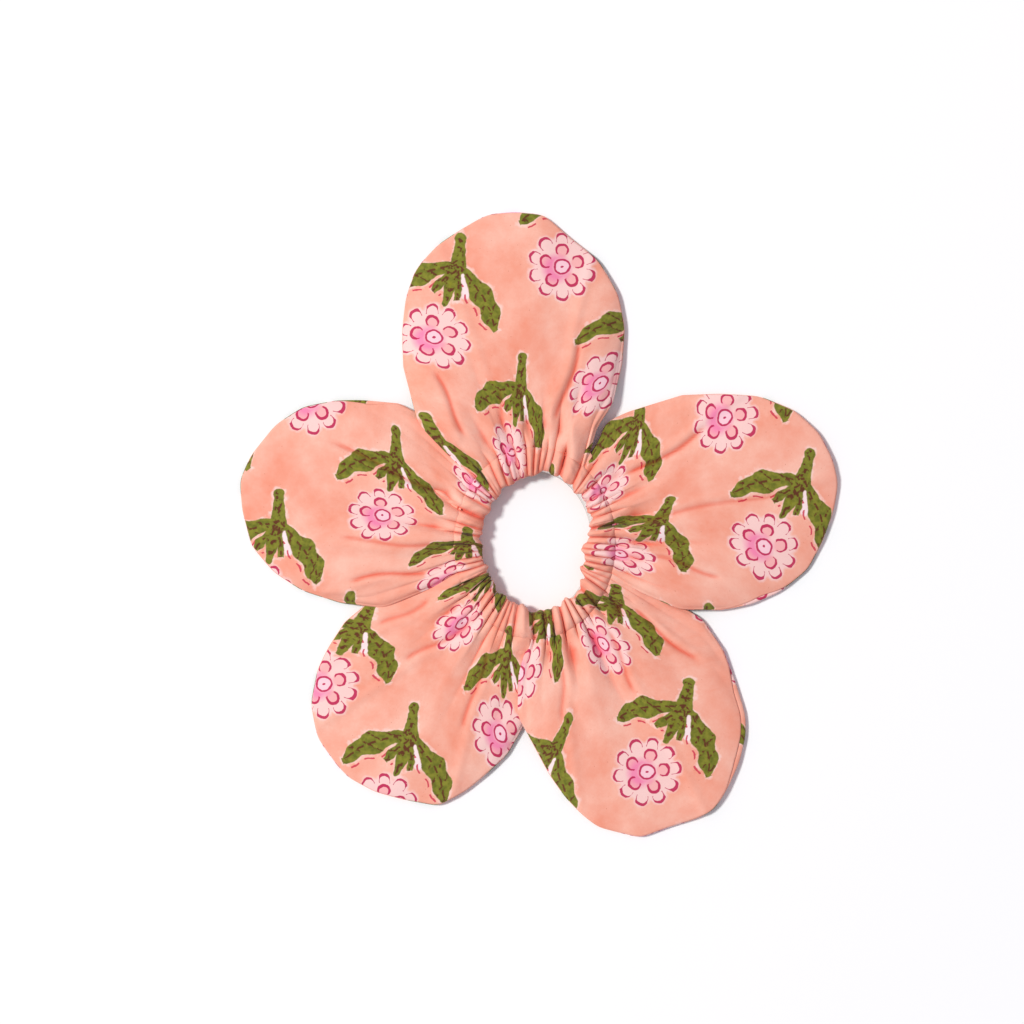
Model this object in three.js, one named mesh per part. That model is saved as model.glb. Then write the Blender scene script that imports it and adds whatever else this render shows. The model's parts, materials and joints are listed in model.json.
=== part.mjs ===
// A flower-shaped hair scrunchie, lying flat with its front up. Millimetres, +Z up.
//
// Two layers of printed cotton are cut as one five-petalled flower each, sewn together round the
// outer edge and turned. Near the hole in the middle they form a channel, the casing, which is
// gathered over a loop of flat elastic. Each petal and the stretch of casing at its foot is
// modelled as its own set of pieces, so that the loop can grow and each petal can fold.

import * as THREE from 'three';

// The hair hole and the casing round it. The hole is an upright oval.
const HOLE_HALF_WIDTH = 13.5;
const HOLE_HALF_HEIGHT = 17.5;
const CASING_WIDTH = 7.2;
const CASING_HEIGHT = 6;
const CASING_CHAMFER = 1;
const CASING_LIFT = 1;
const CHANNEL_WIDTH = 5.6;
const CHANNEL_HEIGHT = 4;
const SECTION_GAP = 0.6;
const SECTION_STEPS = 8;

// The flat elastic, its overlapped ends and the thread that joins them.
const ELASTIC_WIDTH = 5;
const ELASTIC_THICKNESS = 1.2;
const ELASTIC_OVERLAP = 11;
const ELASTIC_STEPS = 48;
const JOIN_ANGLE = 96;
const ZIGZAG_TURNS = 5;
const ZIGZAG_WIDTH = 3.4;

// Thread and the clearance kept between pieces that touch.
const THREAD = 0.6;
const JOIN_THREAD = 0.4;
const THREAD_SIDES = 6;
const TOUCH = 0.3;

// The cloth of the petals, and how far a petal can fold up or down at its foot.
const CLOTH = 0.7;
const SEAM_INSET = 1.4;
const PUFF = 3.4;
const PUFF_RINGS = [1, 0.82, 0.52];
const OUTLINE_STEPS = 26;
const SEAM_STEPS = 30;
const FOLD_LIMIT = 45;
const HINGE_FROM_STITCH = 0.5;
const FOOT_FROM_HINGE = 1.5;
const PETAL_GAP = 1.1;

// The closing stitches, under the casing.
const CLOSING_STITCHES = 5;
const CLOSING_PITCH = 3.2;
const CLOSING_LENGTH = 2.2;

// Each petal's axis, in degrees from +X, and its turned edge from the right-hand side of its foot,
// round the tip, to the left-hand side: distance out from the middle of the hole, and sideways.
const PETALS = [
  {
    name: 'top',
    axis: 96,
    edge: [
      [30, -22], [46, -28.1], [62, -28.2], [71.5, -24], [78, -17.3], [84.6, -9], [86.4, 1],
      [83, 10.1], [74, 23], [62, 27.5], [50, 28.9], [30, 25],
    ],
  },
  {
    name: 'right',
    axis: 17,
    edge: [
      [26, -26.5], [36, -30], [46, -31.4], [57, -30.5], [66, -26.8], [76.6, -14.6], [80.2, -3],
      [78.7, 5.7], [74.4, 13], [66.5, 19.4], [54, 23.8], [39, 25.9], [26, 23.5],
    ],
  },
  {
    name: 'lower_right',
    axis: 301,
    edge: [
      [26, -23], [38, -26.7], [59, -27.2], [71.4, -23.8], [79.6, -15.3], [82.8, -1], [81.4, 7.6],
      [76, 16], [66.5, 23.6], [58, 26], [47, 27.6], [26, 24],
    ],
  },
  {
    name: 'lower_left',
    axis: 233,
    edge: [
      [26, -20], [38, -24.4], [49, -27], [60, -25.2], [69, -20.7], [75, -13.5], [77.5, -2],
      [74.8, 10], [69, 21.5], [59, 25.1], [46, 27.3], [26, 24],
    ],
  },
  {
    name: 'left',
    axis: 168,
    edge: [
      [26, -24.5], [38, -28.2], [51, -27], [65, -22.3], [73, -14], [77.8, -2], [76, 6.5],
      [71.6, 15.6], [63, 22.3], [52, 25.2], [38, 25], [26, 21],
    ],
  },
];

const COTTON = new THREE.MeshStandardMaterial({ color: 0xf7b995, roughness: 0.9, metalness: 0 });
const BACK_COTTON = new THREE.MeshStandardMaterial({ color: 0xf2ae8b, roughness: 0.9, metalness: 0 });
const GATHERED = new THREE.MeshStandardMaterial({ color: 0xeea27f, roughness: 0.95, metalness: 0 });
const WHITE_THREAD = new THREE.MeshStandardMaterial({ color: 0xf6d9c8, roughness: 0.7, metalness: 0 });
const BRAIDED_ELASTIC = new THREE.MeshStandardMaterial({ color: 0xf4f1ea, roughness: 0.8, metalness: 0 });

const RING_HALF_WIDTH = HOLE_HALF_WIDTH + CASING_WIDTH / 2;
const RING_HALF_HEIGHT = HOLE_HALF_HEIGHT + CASING_WIDTH / 2;
const RING_MIDDLE = CASING_LIFT + CASING_HEIGHT / 2;
const STITCH_OFFSET = CASING_WIDTH / 2 + TOUCH + THREAD / 2;

// Distance from the middle of the hole to the casing's centreline, in the direction of an angle.
function ringRadius(angle) {
  const across = RING_HALF_HEIGHT * Math.cos(angle);
  const along = RING_HALF_WIDTH * Math.sin(angle);
  return (RING_HALF_WIDTH * RING_HALF_HEIGHT) / Math.hypot(across, along);
}

// A stretch of the ring, moved outwards by an offset and raised by a height that may vary.
class RingPath extends THREE.Curve {
  constructor(start, end, offset, height) {
    super();
    this.start = start;
    this.end = end;
    this.offset = offset;
    this.height = height;
  }

  getPoint(t, target = new THREE.Vector3()) {
    const angle = THREE.MathUtils.lerp(this.start, this.end, t);
    const radius = ringRadius(angle) + this.offset;
    return target.set(radius * Math.cos(angle), radius * Math.sin(angle), this.height(t));
  }
}

// Sweeps a section along a path. The section's first axis is vertical and its second is sideways.
function sweep(section, path, steps) {
  return new THREE.ExtrudeGeometry(section, { extrudePath: path, steps, bevelEnabled: false });
}

function roundSection(diameter) {
  const points = [];
  for (let side = 0; side < THREAD_SIDES; side += 1) {
    const angle = (2 * Math.PI * side) / THREAD_SIDES;
    points.push(new THREE.Vector2(Math.cos(angle), Math.sin(angle)).multiplyScalar(diameter / 2));
  }
  return new THREE.Shape(points);
}

function rectangle(tall, wide) {
  const [halfTall, halfWide] = [tall / 2, wide / 2];
  return [
    new THREE.Vector2(-halfTall, -halfWide),
    new THREE.Vector2(halfTall, -halfWide),
    new THREE.Vector2(halfTall, halfWide),
    new THREE.Vector2(-halfTall, halfWide),
  ];
}

function casingSection() {
  const tall = CASING_HEIGHT / 2;
  const wide = CASING_WIDTH / 2;
  const corners = [[1, -1], [1, 1], [-1, 1], [-1, -1]];
  const points = corners.flatMap(([up, out]) => {
    const onSide = new THREE.Vector2(up * (tall - CASING_CHAMFER), out * wide);
    const onTop = new THREE.Vector2(up * tall, out * (wide - CASING_CHAMFER));
    return up * out < 0 ? [onSide, onTop] : [onTop, onSide];
  });
  const section = new THREE.Shape(points);
  section.holes.push(new THREE.Path(rectangle(CHANNEL_HEIGHT, CHANNEL_WIDTH).reverse()));
  return section;
}

function namedMesh(name, geometry, material) {
  const mesh = new THREE.Mesh(geometry, material);
  mesh.name = name;
  return mesh;
}

// One stretch of the gathered casing, a tube of cloth that the elastic runs through.
function makeCasing(name, start, end) {
  const halfGap = SECTION_GAP / 2 / RING_HALF_WIDTH;
  const path = new RingPath(start + halfGap, end - halfGap, 0, () => RING_MIDDLE);
  return namedMesh(`casing_${name}`, sweep(casingSection(), path, SECTION_STEPS), GATHERED);
}

// The line of stitches along the casing's outer edge, which closes the channel.
function makeChannelStitch(name, start, end) {
  const halfGap = SECTION_GAP / 2 / RING_HALF_WIDTH;
  const path = new RingPath(start + halfGap, end - halfGap, STITCH_OFFSET, () => RING_MIDDLE);
  const thread = sweep(roundSection(THREAD), path, SECTION_STEPS);
  return namedMesh(`channel_stitch_${name}`, thread, WHITE_THREAD);
}

// The elastic is one strip. Its second end climbs over its first, where the two are sewn together.
function makeElastic() {
  const overlap = ELASTIC_OVERLAP / ringRadius(THREE.MathUtils.degToRad(JOIN_ANGLE));
  const start = THREE.MathUtils.degToRad(JOIN_ANGLE) - overlap / 2;
  const turn = 2 * Math.PI + overlap;
  const low = RING_MIDDLE - CHANNEL_HEIGHT / 2 + TOUCH + ELASTIC_THICKNESS / 2;
  const climb = ELASTIC_THICKNESS + TOUCH;
  const climbStart = (2 * Math.PI - 2 * overlap) / turn;
  const climbEnd = (2 * Math.PI - 0.2 * overlap) / turn;
  const height = (t) => low + climb * THREE.MathUtils.smoothstep(t, climbStart, climbEnd);
  const path = new RingPath(start, start + turn, 0, height);
  const section = new THREE.Shape(rectangle(ELASTIC_THICKNESS, ELASTIC_WIDTH));
  return namedMesh('elastic_band', sweep(section, path, ELASTIC_STEPS), BRAIDED_ELASTIC);
}

// Zigzag stitches over the elastic's overlapped ends.
function makeJoinStitches() {
  const middle = THREE.MathUtils.degToRad(JOIN_ANGLE);
  const radius = ringRadius(middle);
  const top = RING_MIDDLE - CHANNEL_HEIGHT / 2 + 2 * (TOUCH + ELASTIC_THICKNESS);
  const height = top + TOUCH + JOIN_THREAD / 2;
  const half = (ELASTIC_OVERLAP - 3) / 2 / radius;
  const points = [];
  for (let corner = 0; corner <= 2 * ZIGZAG_TURNS; corner += 1) {
    const angle = middle + half * (corner / ZIGZAG_TURNS - 1);
    const out = radius + (ZIGZAG_WIDTH / 2) * (corner % 2 === 0 ? -1 : 1);
    points.push(new THREE.Vector3(out * Math.cos(angle), out * Math.sin(angle), height));
  }
  const path = new THREE.CatmullRomCurve3(points, false, 'centripetal');
  const thread = sweep(roundSection(JOIN_THREAD), path, 6 * ZIGZAG_TURNS);
  return namedMesh('elastic_join_stitches', thread, WHITE_THREAD);
}

// The slanted hand stitches under the casing, which close the gap that the elastic went in by.
function makeClosingStitches() {
  const middle = THREE.MathUtils.degToRad(JOIN_ANGLE);
  const radius = ringRadius(middle);
  const height = CASING_LIFT - TOUCH - THREAD / 2;
  const points = [];
  for (let stitch = 0; stitch < CLOSING_STITCHES; stitch += 1) {
    const angle = middle + ((stitch - (CLOSING_STITCHES - 1) / 2) * CLOSING_PITCH) / radius;
    for (const side of [-1, 1]) {
      const out = radius + (side * CLOSING_LENGTH) / 2;
      points.push(new THREE.Vector3(out * Math.cos(angle), out * Math.sin(angle), height));
    }
  }
  const path = new THREE.CatmullRomCurve3(points, false, 'centripetal');
  const thread = sweep(roundSection(JOIN_THREAD), path, 6 * CLOSING_STITCHES);
  return namedMesh('closing_stitches', thread, WHITE_THREAD);
}

// How far a petal may reach sideways at a distance out, so that it still clears the plane halfway
// to its neighbour when it is folded as far as it goes.
function sidewaysLimit(out, hinge, halfAngle) {
  const folded = hinge + (out - hinge) * Math.cos(THREE.MathUtils.degToRad(FOLD_LIMIT));
  return Math.tan(halfAngle) * folded - PETAL_GAP;
}

// A petal's edge as points, anticlockwise, cut straight across at its foot.
function petalOutline(petal, hinge, halfRight, halfLeft) {
  const foot = hinge + FOOT_FROM_HINGE;
  const drawn = new THREE.SplineCurve(petal.edge.map(([out, side]) => new THREE.Vector2(out, side)));
  const outline = [new THREE.Vector2(foot, -sidewaysLimit(foot, hinge, halfRight))];
  for (const point of drawn.getSpacedPoints(OUTLINE_STEPS)) {
    if (point.x > foot + 2) {
      const right = -sidewaysLimit(point.x, hinge, halfRight);
      const left = sidewaysLimit(point.x, hinge, halfLeft);
      outline.push(new THREE.Vector2(point.x, THREE.MathUtils.clamp(point.y, right, left)));
    }
  }
  outline.push(new THREE.Vector2(foot, sidewaysLimit(foot, hinge, halfLeft)));
  return outline;
}

function centreOf(outline) {
  const sum = outline.reduce((total, point) => total.add(point), new THREE.Vector2());
  return sum.divideScalar(outline.length);
}

// The front layer: a sheet that follows the outline and puffs up towards its middle.
function makeFrontPetal(name, outline) {
  const centre = centreOf(outline);
  const rimHeight = CLOTH + 2 * TOUCH + THREAD + 0.05;
  const count = outline.length;
  const positions = [];
  for (const thickness of [0, CLOTH]) {
    for (const ring of PUFF_RINGS) {
      const height = rimHeight + thickness + PUFF * (1 - ring * ring);
      outline.forEach((point) => {
        const place = centre.clone().lerp(point, ring);
        positions.push(place.x, place.y, height);
      });
    }
    positions.push(centre.x, centre.y, rimHeight + thickness + PUFF);
  }
  const layer = PUFF_RINGS.length * count + 1;
  const index = [];
  for (let k = 0; k < count; k += 1) {
    const next = (k + 1) % count;
    for (let ring = 0; ring + 1 < PUFF_RINGS.length; ring += 1) {
      const [a, b] = [ring * count + k, ring * count + next];
      const [c, d] = [a + count, b + count];
      index.push(a, c, b, b, c, d);
      index.push(layer + a, layer + b, layer + c, layer + b, layer + d, layer + c);
    }
    const inner = (PUFF_RINGS.length - 1) * count;
    index.push(inner + k, layer - 1, inner + next);
    index.push(layer + inner + k, layer + inner + next, 2 * layer - 1);
    index.push(k, next, layer + k, next, layer + next, layer + k);
  }
  const sheet = new THREE.BufferGeometry();
  sheet.setAttribute('position', new THREE.Float32BufferAttribute(positions, 3));
  sheet.setIndex(index);
  sheet.computeVertexNormals();
  return namedMesh(`front_petal_${name}`, sheet, COTTON);
}

// The back layer: a flat sheet that the scrunchie rests on.
function makeBackPetal(name, outline) {
  const sheet = new THREE.ExtrudeGeometry(new THREE.Shape(outline), { depth: CLOTH, bevelEnabled: false });
  return namedMesh(`back_petal_${name}`, sheet, BACK_COTTON);
}

// The seam thread between the two layers, a little inside the petal's edge.
function makeEdgeSeam(name, outline) {
  const centre = centreOf(outline);
  const height = CLOTH + TOUCH + THREAD / 2;
  const points = outline.slice(1, -1).map((point) => {
    const inwards = centre.clone().sub(point).setLength(SEAM_INSET);
    return new THREE.Vector3(point.x + inwards.x, point.y + inwards.y, height);
  });
  const path = new THREE.CatmullRomCurve3(points, false, 'centripetal');
  return namedMesh(`edge_seam_${name}`, sweep(roundSection(THREAD), path, SEAM_STEPS), WHITE_THREAD);
}

// Half the angle between a petal and the neighbour on one side of it, 1 for the left and -1 for the
// right. The petals are listed clockwise.
function halfAngleTo(index, side) {
  const count = PETALS.length;
  const neighbour = PETALS[(index - side + count) % count];
  const apart = side * (neighbour.axis - PETALS[index].axis);
  return THREE.MathUtils.degToRad(THREE.MathUtils.euclideanModulo(apart, 360) / 2);
}

// One petal with the casing at its foot. The petal's own frame has +X along its axis.
function makePetal(petal, index) {
  const axis = THREE.MathUtils.degToRad(petal.axis);
  const halfRight = halfAngleTo(index, -1);
  const halfLeft = halfAngleTo(index, 1);
  const hinge = ringRadius(axis) + STITCH_OFFSET + THREAD / 2 + HINGE_FROM_STITCH;
  const outline = petalOutline(petal, hinge, halfRight, halfLeft);

  const leaf = new THREE.Group();
  leaf.rotation.z = axis;
  leaf.add(makeFrontPetal(petal.name, outline));
  leaf.add(makeBackPetal(petal.name, outline));
  leaf.add(makeEdgeSeam(petal.name, outline));

  const [start, end] = [axis - halfRight, axis + halfLeft];
  const set = new THREE.Group();
  set.add(leaf);
  set.add(makeChannelStitch(petal.name, start, end));
  if (petal.name === 'lower_left') {
    set.add(makeCasing(petal.name, start, axis));
    set.add(makeCasing('closing', axis, end));
  } else {
    set.add(makeCasing(petal.name, start, end));
  }
  return set;
}

const flower = new THREE.Group();
PETALS.forEach((petal, index) => flower.add(makePetal(petal, index)));
flower.add(makeElastic());
flower.add(makeJoinStitches());
flower.add(makeClosingStitches());

// The origin is the middle of the whole scrunchie's underside.
const box = new THREE.Box3().setFromObject(flower, true);
const middle = box.getCenter(new THREE.Vector3());
flower.position.set(-middle.x, -middle.y, -box.min.z);

const scrunchie = new THREE.Group();
scrunchie.add(flower);

export default scrunchie;
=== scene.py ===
# A flower-shaped scrunchie lying flat: five petals of double printed cotton round a gathered casing
# that holds a loop of flat elastic. Lengths are in millimetres until a mesh is made.

import json
import math

import bmesh
import bpy
import numpy as np
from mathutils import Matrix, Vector

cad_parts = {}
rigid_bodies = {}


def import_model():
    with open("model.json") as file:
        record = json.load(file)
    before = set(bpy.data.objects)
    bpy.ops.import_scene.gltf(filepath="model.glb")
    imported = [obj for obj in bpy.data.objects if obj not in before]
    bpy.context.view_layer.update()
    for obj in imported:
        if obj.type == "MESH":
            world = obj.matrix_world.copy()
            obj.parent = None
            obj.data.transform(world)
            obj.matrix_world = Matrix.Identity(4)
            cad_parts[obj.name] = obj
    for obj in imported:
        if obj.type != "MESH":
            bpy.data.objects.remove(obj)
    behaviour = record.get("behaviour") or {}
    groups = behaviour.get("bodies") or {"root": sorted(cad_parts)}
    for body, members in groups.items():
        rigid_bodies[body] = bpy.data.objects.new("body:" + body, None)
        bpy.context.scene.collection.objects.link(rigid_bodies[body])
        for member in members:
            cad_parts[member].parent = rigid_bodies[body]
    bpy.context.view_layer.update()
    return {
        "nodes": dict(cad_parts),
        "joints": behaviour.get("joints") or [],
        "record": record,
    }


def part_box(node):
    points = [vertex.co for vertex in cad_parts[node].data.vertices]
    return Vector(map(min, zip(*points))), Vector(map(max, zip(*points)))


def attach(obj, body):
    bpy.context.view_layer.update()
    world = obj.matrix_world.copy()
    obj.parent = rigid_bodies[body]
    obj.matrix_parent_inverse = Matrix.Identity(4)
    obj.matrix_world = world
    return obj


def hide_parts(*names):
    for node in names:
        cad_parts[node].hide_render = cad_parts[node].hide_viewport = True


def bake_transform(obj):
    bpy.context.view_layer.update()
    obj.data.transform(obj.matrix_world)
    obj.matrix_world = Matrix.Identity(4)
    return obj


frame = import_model()


def placed(name, data):
    """A new object in the scene."""
    made = bpy.data.objects.new(name, data)
    bpy.context.scene.collection.objects.link(made)
    return made


def new_material(name, **settings):
    """A material whose shader has some inputs set."""
    material = bpy.data.materials.new(name)
    material.use_nodes = True
    shader = material.node_tree.nodes["Principled BSDF"]
    for setting, value in settings.items():
        shader.inputs[setting.replace("_", " ")].default_value = value
    return material


# ---------------------------------------------------------------------------------------------
# The camera looks straight down on the front. Plain white paper lies under the scrunchie, and a
# soft lamp on the left leaves a narrow shadow along each right-hand edge.

VIEW_WIDTH = 0.266
LENS = 85
SENSOR = 36
AIM = (-0.0069, 0.0031)

camera_data = bpy.data.cameras.new("camera")
camera_data.lens = LENS
camera_data.sensor_width = SENSOR
camera_data.clip_start = 0.01
camera = placed("camera", camera_data)
camera.location = (*AIM, VIEW_WIDTH * LENS / SENSOR)
bpy.context.scene.camera = camera
bpy.context.scene.view_settings.view_transform = "Standard"

bpy.ops.object.select_all(action="DESELECT")
bpy.ops.mesh.primitive_plane_add(size=6)
floor = bpy.context.object
floor.name = "paper_floor"
floor.data.materials.append(new_material("white_paper", Base_Color=(0.95, 0.97, 0.95, 1), Roughness=0.9))


def area_lamp(name, place, size, power, colour):
    """A square lamp at a place, aimed at the middle of the scrunchie."""
    lamp = bpy.data.lights.new(name, "AREA")
    lamp.size = size
    lamp.energy = power
    lamp.color = colour
    holder = placed(name, lamp)
    holder.location = place
    holder.rotation_euler = (-Vector(place)).to_track_quat("-Z", "Y").to_euler()


area_lamp("key_lamp", (-2.2, 0.66, 3.3), 0.6, 128, (0.975, 1, 0.985))
world = bpy.data.worlds.new("studio")
world.use_nodes = True
world.node_tree.nodes["Background"].inputs["Color"].default_value = (0.96, 0.86, 1, 1)
world.node_tree.nodes["Background"].inputs["Strength"].default_value = 0.46
bpy.context.scene.world = world


# ---------------------------------------------------------------------------------------------
# Petals. Each is the tongue of two flower-shaped cuts of thin plain-weave cotton, sewn together
# along the edge, turned and pressed. Its foot is gathered to less than half of its cut width by
# the channel stitches, so soft creases run out of the gathers into the petal.

MM = 0.001
COTTON_THICKNESS = 0.24
GATHER = 2.2
COLUMNS = 120
ROWS = 40
SIM_SCALE = 10
SIM_FRAMES = 26

hole_low, hole_high = frame["record"]["physics"]["openings"][0]["box_m"]
HOLE = np.array([(low + high) / 2 / MM for low, high in zip(hole_low, hole_high)])[:2]
ring_boxes = [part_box(name) for name in frame["nodes"] if name.startswith("casing_")]
CASING_WIDTH = 7.2
RING_X = max(high.x for low, high in ring_boxes) / MM - HOLE[0] - CASING_WIDTH / 2
RING_Y = max(high.y for low, high in ring_boxes) / MM - HOLE[1] - CASING_WIDTH / 2
RING_Z = (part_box("casing_top")[0].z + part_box("casing_top")[1].z) / 2 / MM
STITCH_LINE = 3.9
GATHER_LIFT = 0.95
UNGATHERED = 60
PLEATS = 58
FRONT_LOWEST = 1.0
BACK_LOWEST = 0.2
TUCK = (0.7, 0.45)

# Each petal's turned edge from its right-hand shoulder round the tip to its left-hand shoulder, as
# distance out from the middle of the hole and sideways. neck holds the points between the foot
# and each shoulder, right first. over says whether the right and left edges lie on a neighbour.
# roll lists where the back layer rolls round to the front: from and to along the edge, and amount.
# creases lists the sharper folds pressed into the front: from, to and depth.
PETALS = {
    "top": {
        "bloom": (70.3, -14.5),
        "tilt": 16,
        "edge": [
            (44, -27.4), (53, -29.1), (62, -28.2), (71.3, -24), (77.8, -17.3), (84.4, -11.2), (85.8, -4),
            (86, 3.2), (82.8, 10.4), (79.6, 16.6), (73.9, 23.1), (67, 26.4), (58, 28.4), (49, 29),
        ],
        "neck": ([(28, -18.5), (34, -23.4)], [(26, 20), (34, 26.2)]),
        "over": (1, 1),
        "creases": [((30, -9), (52, -17), 0.5), ((28, 3), (40, 6), 0.35), ((29, 14), (47, 22), 0.45)],
        "roll": [],
    },
    "right": {
        "bloom": (56.4, 17.0),
        "tilt": 27,
        "edge": [
            (41, -30.6), (49, -31.6), (57, -30.7), (65.8, -27.2), (71.4, -21.4), (76.6, -14.6), (79.7, -8.4),
            (80.2, -2.2), (78.8, 5.7), (74.4, 13.2), (67, 19.3), (57.3, 22.9), (47.9, 25.4),
        ],
        "neck": ([(22, -19), (31, -26.8)], [(24, 20), (27, 24), (33, 24.9)]),
        "over": (1, -1),
        "creases": [((27, 9), (52, 16), 0.55), ((26, -3), (66, -6), 0.3), ((27, -12), (44, -22), 0.4)],
        "roll": [(0.02, 0.2, 0.8)],
    },
    "lower_right": {
        "bloom": (65.5, -5.5),
        "tilt": 27,
        "edge": [
            (46.4, -27.2), (53.4, -27.6), (60.4, -27.1), (66.2, -25.8), (71.6, -23.8), (75.2, -20.2),
            (79.6, -15.8), (80.8, -9), (82.8, -0.8), (83.2, 4), (81, 8.6), (76.2, 16), (71, 21.2),
            (66.2, 24), (58, 26), (49, 27.6),
        ],
        "neck": ([(27, -20.5), (36, -26.2)], [(29, 20.5), (39, 26.6)]),
        "over": (1, -1),
        "creases": [((28, 4), (47, 3), 0.4), ((27, 12), (48, 21), 0.5), ((28, -10), (44, -17), 0.35)],
        "roll": [(0.62, 0.97, 1)],
    },
    "lower_left": {
        "bloom": (61.9, -21.6),
        "tilt": 18,
        "edge": [
            (46, -26.9), (53.4, -26.4), (59.9, -25.2), (68, -21.3), (74.2, -14.5), (76.7, -6.4), (77.5, -2),
            (76.3, 5.7), (73.1, 13.6), (69.4, 21), (62, 24.4), (55.4, 26), (48, 27.3),
        ],
        "neck": ([(26, -18.5), (36, -24)], [(27, 19.5), (37, 25.4)]),
        "over": (-1, -1),
        "creases": [((29, 6), (50, 15), 0.4), ((28, -2), (45, -8), 0.4), ((27, -13), (42, -19), 0.35)],
        "roll": [],
    },
    "left": {
        "bloom": (64.1, -24.2),
        "tilt": 12.5,
        "edge": [
            (42, -28), (51.2, -27), (58, -25.4), (66, -22), (72, -16), (76.6, -7), (78, 0), (75.8, 7.4),
            (71.6, 15.9), (64.5, 21.4), (56.2, 24.6), (46, 25.6),
        ],
        "neck": ([(24, -18), (34, -25.6)], [(24, 16.5), (35, 24)]),
        "over": (-1, 1),
        "creases": [((25, -8), (58, -14), 0.4), ((24, 5), (50, 10), 0.35), ((25, 12), (45, 20), 0.5)],
        "roll": [(0.0, 0.16, 0.8)],
    },
}

joints = {joint["name"]: joint for joint in frame["joints"]}
for name, petal in PETALS.items():
    hinge = joints["fold_" + name]
    petal["direction"] = np.array([-hinge["axis"][1], hinge["axis"][0]])
    petal["angle"] = math.atan2(petal["direction"][1], petal["direction"][0])
    petal["hinge"] = np.array(hinge["pos_m"]) / MM
names = list(PETALS)
for place, name in enumerate(names):
    left_turn = PETALS[names[place - 1]]["angle"] - PETALS[name]["angle"]
    right_turn = PETALS[name]["angle"] - PETALS[names[(place + 1) % 5]]["angle"]
    PETALS[name]["halves"] = (right_turn % (2 * math.pi) / 2, left_turn % (2 * math.pi) / 2)


def turn_to(angle, other):
    """The turn from one angle to another, at most half a circle either way."""
    return (other - angle + math.pi) % (2 * math.pi) - math.pi


def ring_radius(angle):
    """Distance from the middle of the hole to the casing's centreline."""
    return RING_X * RING_Y / np.hypot(RING_Y * np.cos(angle), RING_X * np.sin(angle))


def soft_noise(x, seed, octaves=3):
    """Smooth numbers of about -1 to 1 along x, the same on each run."""
    random = np.random.default_rng(seed)
    total = np.zeros_like(np.asarray(x, float))
    for octave in range(octaves):
        total += np.sin(x * random.uniform(0.7, 1.3) * 2**octave + random.uniform(0, 6.28)) / 1.6**octave
    return total / 1.6


def pleat_phase(angle):
    """The gathers' phase round the ring, where some pleats are narrow and some wide."""
    drift = 3.3 * np.sin(3 * angle + 0.7) + 2.4 * np.sin(7 * angle + 2.1) + 1.5 * np.sin(13 * angle)
    return PLEATS * angle + drift


def ridges(phase):
    """Round ridges with sharp valleys between them."""
    return 2.1 * np.abs(np.cos(phase / 2)) - 1


def pleat_height(angle, merged=0.0):
    """How high the gathers stand off the stitches. merged goes from 0 at the stitches to 2 out in
    the petals, where pleats have run together in pairs and in fours."""
    angle = np.asarray(angle, float)
    phase = pleat_phase(angle)
    drift = 9.9 * np.cos(3 * angle + 0.7) + 16.8 * np.cos(7 * angle + 2.1) + 19.5 * np.cos(13 * angle)
    size = 0.95 + 0.25 * np.sin(5 * angle + 1) + 0.2 * np.sin(17 * angle)
    size = size * np.clip(1 + drift / PLEATS, 0.5, 2) ** -0.7
    pairs = 1.35 * ridges(phase / 2 + 0.8 * np.sin(4 * angle))
    fours = 1.5 * ridges(phase / 4 + 1.3 * np.sin(3 * angle + 2))
    first, second = np.clip(merged, 0, 1), np.clip(merged - 1, 0, 1)
    return size * (ridges(phase) * (1 - first) + (pairs * (1 - second) + fours * second) * first)


def distances(points):
    """How far along a polyline each of its points lies."""
    steps = np.linalg.norm(np.diff(points, axis=0), axis=1)
    return np.concatenate([[0], np.cumsum(steps)])


def line_points(points, along, wanted):
    """Places on a polyline at wanted distances along it."""
    return np.stack([np.interp(wanted, along, column) for column in points.T], axis=1)


def resample(points, count):
    """count points evenly spaced along a polyline."""
    points = np.asarray(points, float)
    along = distances(points)
    return line_points(points, along, np.linspace(0, along[-1], count))


def smooth_line(points, rounds):
    """Rounds the corners of an open polyline a little; its ends stay."""
    for _ in range(rounds):
        points = points.copy()
        points[1:-1] = points[1:-1] * 0.5 + (points[:-2] + points[2:]) * 0.25
    return points


def petal_edge(name):
    """A petal's turned edge as a smooth line, in the petal's own frame."""
    return smooth_line(resample(PETALS[name]["edge"], 400), 60)


def coons(base, rim, right, left):
    """A grid between four edge lines. base and rim run from right to left, right and left run outwards."""
    u = np.linspace(0, 1, base.shape[0])[None, :, None]
    v = np.linspace(0, 1, right.shape[0])[:, None, None]
    ruled_v = (1 - v) * base[None] + v * rim[None]
    ruled_u = (1 - u) * right[:, None] + u * left[:, None]
    corners = (1 - v) * ((1 - u) * base[0] + u * base[-1]) + v * ((1 - u) * rim[0] + u * rim[-1])
    return ruled_v + ruled_u - corners


EDGE_ROUND = 0.5
ROLL_WIDTH = 1.3


def outward(line):
    """Unit normals on the right-hand side of a flat line, which is a petal's outside."""
    ahead = np.gradient(line[:, :2], axis=0)
    ahead /= np.linalg.norm(ahead, axis=1)[:, None]
    return np.stack([ahead[:, 1], -ahead[:, 0]], axis=1)


def rolled_amount(name, along):
    """How far the back layer rolls round to the front, from 0 to 1, at each part of the edge."""
    amount = np.full_like(along, 0.08)
    for start, end, most in PETALS[name]["roll"]:
        ramp = np.clip((along - start) / 0.08, 0, 1) * np.clip((end - along) / 0.08, 0, 1)
        amount = np.maximum(amount, most * ramp)
    return amount


def flat_shift(name):
    """How much further out the petal's foot lies in the flat cut than in the gathered ring."""
    return (GATHER - 1) * (ring_radius(PETALS[name]["angle"]) + STITCH_LINE)


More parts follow.
